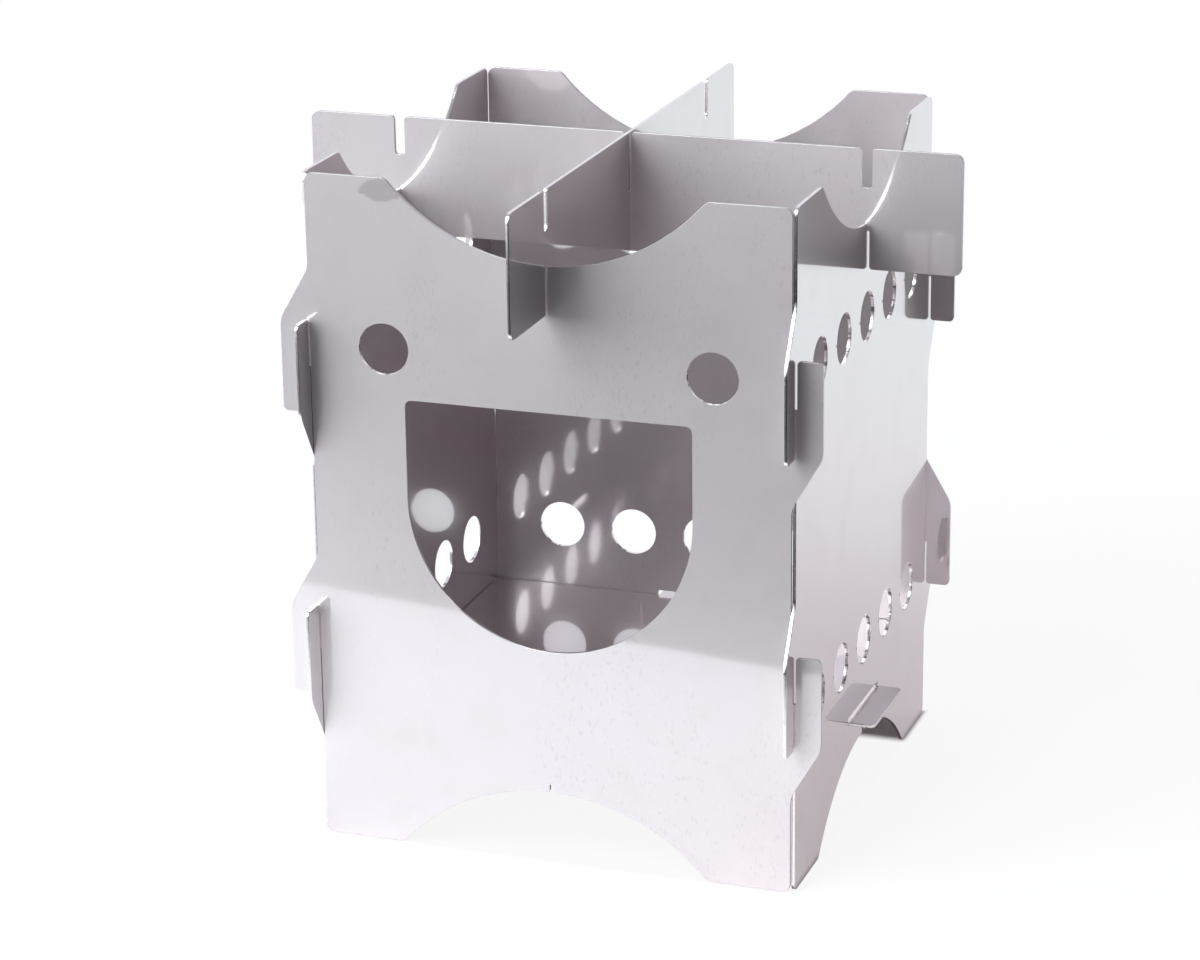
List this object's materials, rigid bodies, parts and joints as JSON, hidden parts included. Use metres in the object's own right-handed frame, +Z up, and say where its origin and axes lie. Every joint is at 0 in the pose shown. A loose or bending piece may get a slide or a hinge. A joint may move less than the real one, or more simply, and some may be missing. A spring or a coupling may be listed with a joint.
{
  "type": "flat-pack hobo stove",
  "caption": "Square wood stove of interlocking steel sheets with arched edges, a round-bottomed feed opening, air holes and crossed pot supports.",
  "frame": {"origin": "on the ground, under the middle of the stove", "axes": "+Z up; the front panel with the feed opening faces -Y; +X is the stove's left-to-right as seen from the front"},
  "size_m": [0.2, 0.2, 0.2],
  "materials": {
    "steel_sheet": "satin, rolled sheet with bright cut edges"
  },
  "bodies": {
    "stove_body": {"front_panel": "steel_sheet", "right_panel": "steel_sheet", "back_panel": "steel_sheet", "left_panel": "steel_sheet", "floor_plate": "steel_sheet"},
    "lower_support": {"pot_support_lower": "steel_sheet"},
    "upper_support": {"pot_support_upper": "steel_sheet"}
  },
  "joints": [
    {"name": "lower_support_lift", "type": "slide", "parent": "stove_body", "child": "lower_support", "axis": [0, 0, 1], "range_m": [0, 0.04]},
    {"name": "upper_support_lift", "type": "slide", "parent": "lower_support", "child": "upper_support", "axis": [0, 0, 1], "range_m": [0, 0.04]}
  ]
}
